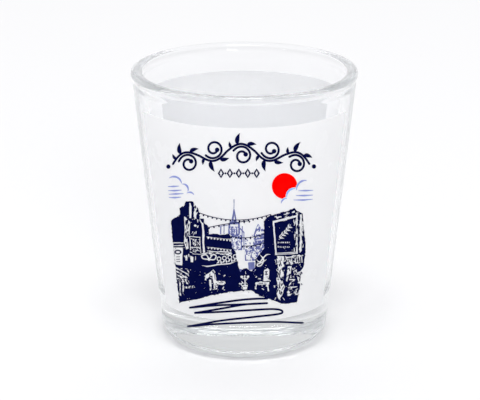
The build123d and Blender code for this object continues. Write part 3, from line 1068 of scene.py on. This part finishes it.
lino += flecks(2.4, 5.1, -12.3, -9.0, 14, 80, 0.35, inked=True, spread=50)

# The sign board on the right: a white frame round an olive branch and two plain rules
lino += cut([(5.85, 1.15), (11.1, 2.5), (11.2, -5.75), (6.45, -5.95)])
lino += left_standing([(6.2, 0.8), (10.75, 1.95), (10.85, -5.3), (6.75, -5.5)])
lino += left_standing(bar((6.7, -5.72), (10.9, -5.52), 0.10))
lino += flecks(10.3, 11.1, -5.0, 1.8, 14, 88, 0.9)
lino += flecks(10.5, 11.3, -5.0, 1.8, 12, 88, 0.7, inked=True)
lino += flecks(6.4, 8.8, 0.6, 1.4, 6, 16, 0.6)
branch = smooth_line([(7.3, -2.7), (8.0, -1.7), (8.8, -0.9), (9.7, 0.5)])
lino += bare(brush(branch, 0.14, 0.3, 0.8))
sprig = [(leaf((0, 0.05), 58, 0.85, 0.30), True), (leaf((0, -0.05), -22, 0.8, 0.30), True)]
lino += bare(repeated(sprig, [tuple(point) for point in branch[2:-4]], 5, navy_ink))
lino += cut(
    *(
        bar((6.95 + 0.38 * dash, v), (7.17 + 0.38 * dash, v + 0.05), 0.30)
        for v in (-3.35, -4.3) for dash in range(7)
    ), depth=0.05,
)

# The right-hand house: roof tiles, a pale corner, a downpipe, balconies and a railing
lino += cut(
    bar((8.2, 2.55), (9.4, 2.85), 0.24), bar((9.9, 2.9), (10.4, 3.15), 0.28),
    bar((10.8, 2.9), (11.0, 2.3), 0.34), bar((6.6, 1.85), (7.6, 2.15), 0.16),
    [(11.6, 2.6), (12.0, 2.5), (12.05, 0.3), (11.95, -2.4), (12.1, -5.2), (11.6, -5.6), (11.65, -2.0),
     (11.55, 0.2)],
    [(6.9, -6.2), (8.4, -6.3), (8.1, -7.6), (8.4, -8.4), (7.8, -8.9), (8.3, -10.2), (8.0, -11.4),
     (8.5, -12.7), (8.1, -14.3), (7.3, -15.6), (6.8, -14.2), (7.0, -12.2), (6.7, -10.9), (7.2, -9.2),
     (6.9, -7.6)],
    depth=0.09,
)
lino += left_standing(
    bar((7.4, -7.0), (7.6, -8.0), 0.2), bar((7.5, -9.6), (7.3, -10.8), 0.24),
    bar((7.6, -11.6), (7.8, -12.6), 0.18), bar((7.4, -13.4), (7.5, -14.4), 0.22),
    oval((7.7, -11.1), 0.16, 0.2, 8), oval((7.35, -12.9), 0.14, 0.16, 8),
)
lino += flecks(6.7, 8.5, -15.0, -6.2, 44, 86, 0.6, inked=True, spread=30)
lino += flecks(6.2, 8.8, -15.4, -6.2, 22, 86, 0.6, spread=40)
lino += flecks(5.2, 11.2, 1.9, 3.5, 16, 14, 0.9)
lino += flecks(11.4, 12.4, -5.6, 2.4, 20, 90, 0.9)
lino += flecks(6.3, 11.4, -7.8, -6.1, 16, 10, 0.7, spread=30)
railing = [(bar((0, -0.7), (0, 0.7), 0.2), True)]
lino += bare(repeated(railing, [(10.7, -7.1), (12.1, -7.0)], 4, navy_ink))
lino += cut(
    bar((10.4, -6.2), (12.4, -6.1), 0.2), bar((8.8, -6.5), (10.1, -6.4), 0.24),
    bar((8.9, -7.6), (10.2, -7.5), 0.28), bar((9.0, -6.6), (9.0, -7.5), 0.22),
    bar((9.9, -6.6), (9.95, -7.4), 0.22),
    [(9.1, -8.4), (9.9, -8.3), (9.8, -9.9), (9.3, -10.3), (9.0, -11.6), (8.8, -11.5), (9.0, -9.6)],
    bar((9.5, -11.2), (10.7, -11.3), 0.3), bar((11.0, -10.0), (12.2, -9.3), 0.24),
    bar((10.6, -9.2), (11.9, -10.6), 0.2), bar((11.3, -10.9), (11.7, -12.1), 0.3), depth=0.06,
)
lino += left_standing(bar((9.35, -8.7), (9.55, -9.4), 0.2))
lino += flecks(8.9, 12.0, -12.3, -6.2, 40, 80, 0.6, spread=70)
lino += flecks(8.9, 12.2, -12.3, -6.2, 24, 70, 0.45, inked=True, spread=60)

# Flower pots at its foot
pot = [([(-0.28, -0.35), (0.28, -0.35), (0.36, 0.1), (-0.36, 0.1)], True), (disc((0, 0.42), 0.3, 10), True)]
lino += bare(repeated(pot, [(9.4, -14.4), (10.9, -14.2)], 2, navy_ink))
lino += cut(bar((9.2, -12.9), (11.2, -12.8), 0.24), bar((9.8, -13.4), (10.1, -12.9), 0.2), depth=0.05)
lino += flecks(8.9, 11.3, -14.6, -12.7, 14, 30, 0.45, spread=60)
lino += flecks(9.0, 11.3, -14.8, -12.7, 12, 60, 0.3, inked=True, spread=60)

# The stall at the lower left: a striped awning on two posts, with crates beside it
lino += cut(
    bar((-14.6, -8.8), (-11.8, -10.2), 0.26), bar((-14.5, -9.5), (-12.2, -11.0), 0.3),
    bar((-14.2, -10.4), (-13.0, -10.9), 0.3), bar((-13.75, -11.3), (-13.65, -14.8), 0.34),
    bar((-13.1, -11.2), (-13.0, -14.4), 0.24), bar((-12.6, -11.2), (-12.0, -12.3), 0.24), depth=0.05,
)
crates = [(block(-0.3, 0.3, -0.24, 0.24), True)]
lino += bare(repeated(crates, [(-12.4, -13.0), (-10.8, -12.8)], 3, navy_ink))
lino += left_standing(bar((-14.0, -9.6), (-12.9, -10.25), 0.1))
lino += flecks(-14.3, -11.8, -12.0, -8.9, 24, -35, 0.6, spread=40)
lino += flecks(-14.4, -12.9, -14.6, -9.2, 20, 80, 0.5, inked=True, spread=40)
lino += flecks(-12.6, -10.6, -13.6, -12.4, 14, 20, 0.4, inked=True, spread=60)
lino += flecks(-12.7, -9.8, -7.6, -6.0, 6, 86, 0.8)

# Specks: the ink skips a little everywhere, and spits a little past its edge
skips = 150
for _ in range(skips):
    centre = (draw.uniform(-14.5, 12.2), draw.uniform(-15.5, 3.0))
    lino.append((roughened(disc(centre, draw.uniform(0.035, 0.10), 6), 0.2, 0.015), False))
spits = 46
for _ in range(spits):
    start = draw.choice(street_outline)
    centre = (start[0] + draw.gauss(0, 0.22), start[1] + draw.gauss(0, 0.22))
    lino.append((roughened(disc(centre, draw.uniform(0.04, 0.10), 6), 0.2, 0.015), True))

street = laid_film("street", lino, navy_ink)
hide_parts("street_print")

# ----------------------------------------------------------
# Strings of lights: thin navy lines that sag between the two sides, with small bulbs under them.
# They stop where the street's own film begins.
string_pen = 0.15
string_ends = [
    ((-9.3, 2.85), (5.4, 2.55), 1.30, 17), ((-7.4, -0.15), (1.0, 1.25), -0.12, 9),
    ((-2.7, -2.0), (4.1, -1.45), 0.55, 8), ((-0.4, -4.0), (4.1, -3.3), 0.28, 6),
]
bulb = [(oval((0, -0.2), 0.17, 0.19, 10), True), (block(-0.06, 0.06, -0.1, 0.05), True)]


def sagging(left, right, sag, steps=24):
    """A line that hangs between two ends, lowest in the middle."""
    line = []
    for step in range(steps + 1):
        share = step / steps
        line.append((
            left[0] + (right[0] - left[0]) * share,
            left[1] + (right[1] - left[1]) * share - 4 * sag * share * (1 - share),
        ))
    return line


string_shapes = []
for left, right, sag, bulbs in string_ends:
    string = sagging(left, right, sag)
    string_shapes += brush(string, string_pen)
    string_shapes += repeated(bulb, string, bulbs, navy_ink)
string_shapes.append((street_outline, False))
strings = laid_film("bulb_strings", string_shapes, navy_ink)
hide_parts("strings_print")

# ----------------------------------------------------------
# Far street: the houses and the stepped tower at the end of the street, in a thin violet ink that
# lies under the navy. It is open work, walls and window lines with the panel showing between.
violet_thickness = 0.03 * mm
tower_middle = -2.15


def grid_of_windows(left, right, low, high, columns, rows, size):
    """Bare windows in even rows."""
    pane = [(block(-size[0] / 2, size[0] / 2, -size[1] / 2, size[1] / 2), True)]
    windows = []
    for row in range(rows):
        level = low + (high - low) * (row + 0.5) / rows
        inset = (right - left) / columns / 2
        windows += repeated(pane, [(left + inset, level), (right - inset, level)], columns, violet_ink)
    return bare(windows)


violet_ink, nodes, shader = new_material("far_violet", Specular_IOR_Level=0.0)
coat_nodes(
    nodes, shader, 0.2,
    Color=(0.11, 0.125, 0.32, 1), Thin_color=(0.26, 0.29, 0.54, 1), Mottle=0.7, Mottle_size=0.0010,
    Pinholes=0.4, Pinhole_size=0.0004, Roughness=0.4, Roughness_change=0.1,
)
far_lino = left_standing(
    bar((tower_middle, 3.4), (tower_middle, 5.7), 0.14),
    [(tower_middle - 0.60, 0.9), (tower_middle + 0.60, 0.9), (tower_middle + 0.10, 3.7),
     (tower_middle - 0.10, 3.7)],
    block(tower_middle - 0.95, tower_middle + 0.95, 0.6, 1.05),
    [(-3.4, -1.7), (-0.85, -1.7), (-0.95, 0.55), (-1.3, 0.9), (-2.9, 0.9), (-3.3, 0.4)],
    [(-2.7, -4.9), (-0.45, -4.9), (-0.6, -1.7), (-2.7, -1.7)],
)
far_lino += cut(
    [(-2.25, 1.3), (-1.95, 1.3), (-2.1, 2.9)], [(-3.0, 0.05), (-1.3, 0.05), (-1.35, 0.5), (-2.9, 0.5)],
    depth=0.03,
)
far_lino += grid_of_windows(-3.1, -1.1, -1.5, -0.2, 4, 3, (0.18, 0.26))
far_lino += cut(
    block(-2.45, -1.5, -3.4, -2.3), block(-1.35, -0.8, -4.6, -2.6),
    [(-2.5, -4.7), (-1.6, -4.7), (-1.6, -3.8), (-2.5, -3.9)], depth=0.08,
)
far_lino += flecks(-3.3, -0.7, -4.8, 0.0, 40, 90, 0.5, spread=30)
far_lino += flecks(-2.7, -0.6, -4.8, -0.6, 26, 90, 0.45, inked=True, spread=40)
far_lino += left_standing(
    bar((-4.95, -1.6), (-4.9, 0.1), 0.24), bar((-4.25, -1.5), (-4.2, 0.2), 0.14),
    bar((-5.0, 0.1), (-3.4, 0.35), 0.13), bar((-0.5, -3.2), (-0.45, 0.1), 0.2),
    bar((-0.95, -0.3), (-0.1, -1.2), 0.24), bar((-0.1, -1.1), (-0.1, -4.8), 0.2),
)

# Houses on the right of the gap, in walls and window lines, with a flag hung before them
far_lino += left_standing(
    [(2.0, -5.1), (1.9, -1.7), (2.3, -0.5), (2.8, 0.6), (3.2, 0.2), (3.5, -0.5), (4.2, -0.3), (4.2, -5.1)],
    [(0.1, -7.1), (0.1, -5.2), (0.6, -4.6), (1.1, -5.1), (1.1, -4.2), (2.1, -3.6), (4.0, -4.4), (3.0, -6.0),
     (2.2, -7.1)],
)
far_lino += cut(
    [(2.3, -1.6), (4.1, -1.3), (4.1, -0.9), (2.4, -1.1)], bar((2.1, -2.9), (4.1, -2.6), 0.2),
    bar((2.2, -4.0), (4.0, -3.8), 0.16), [(2.55, -0.2), (3.0, -0.1), (2.85, 0.25)],
)
far_lino += cut(block(0.3, 1.2, -6.9, -5.9), block(1.5, 2.3, -6.4, -5.2), depth=0.08)
far_lino += flecks(1.9, 4.1, -4.9, 0.2, 48, 70, 0.5, spread=60)
far_lino += flecks(0.1, 3.4, -7.0, -4.0, 64, 40, 0.5, spread=80)
far_lino += flecks(0.2, 4.0, -7.2, -1.5, 50, 60, 0.4, inked=True, spread=70)
far_lino += left_standing(
    [(0.75, -7.5), (2.1, -7.4), (2.2, -9.6), (1.6, -9.0), (0.9, -9.1)],
    [(-1.1, -8.9), (-0.55, -8.9), (-0.6, -9.7), (-0.95, -9.8)],
)
far_street = laid_film("far_street", far_lino, violet_ink, violet_thickness)
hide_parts("far_street_print")

# ----------------------------------------------------------
# Scribble: a quick zigzag of the pen that stands for the paving. It is printed in navy, half on
# the panel and half on the bare glass below it.
scribble_pen = 0.42
scribble_lines = [
    [(4.8, -15.2), (0.5, -15.35), (-5.0, -16.1), (-11.6, -17.35)],
    [(-11.6, -17.35), (-6.0, -16.7), (-0.5, -16.45), (4.8, -16.2)],
    [(4.8, -16.2), (0.2, -16.45), (-5.0, -17.4), (-10.5, -18.45)],
    [(-10.5, -18.45), (-6.0, -18.15), (0.0, -17.75), (5.0, -17.5), (7.3, -17.65), (8.05, -18.1),
     (7.2, -18.6), (2.0, -19.15), (-5.0, -20.0), (-12.1, -21.5)],
    [(-12.1, -21.5), (-6.0, -20.75), (1.0, -20.38), (7.0, -20.32), (12.5, -20.75)],
]
scribble_shapes = []
for points in scribble_lines:
    scribble_shapes += brush(smooth_line(points, 10), scribble_pen)
scribble = laid_film("scribble", scribble_shapes, navy_ink)
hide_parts("scribble_print")
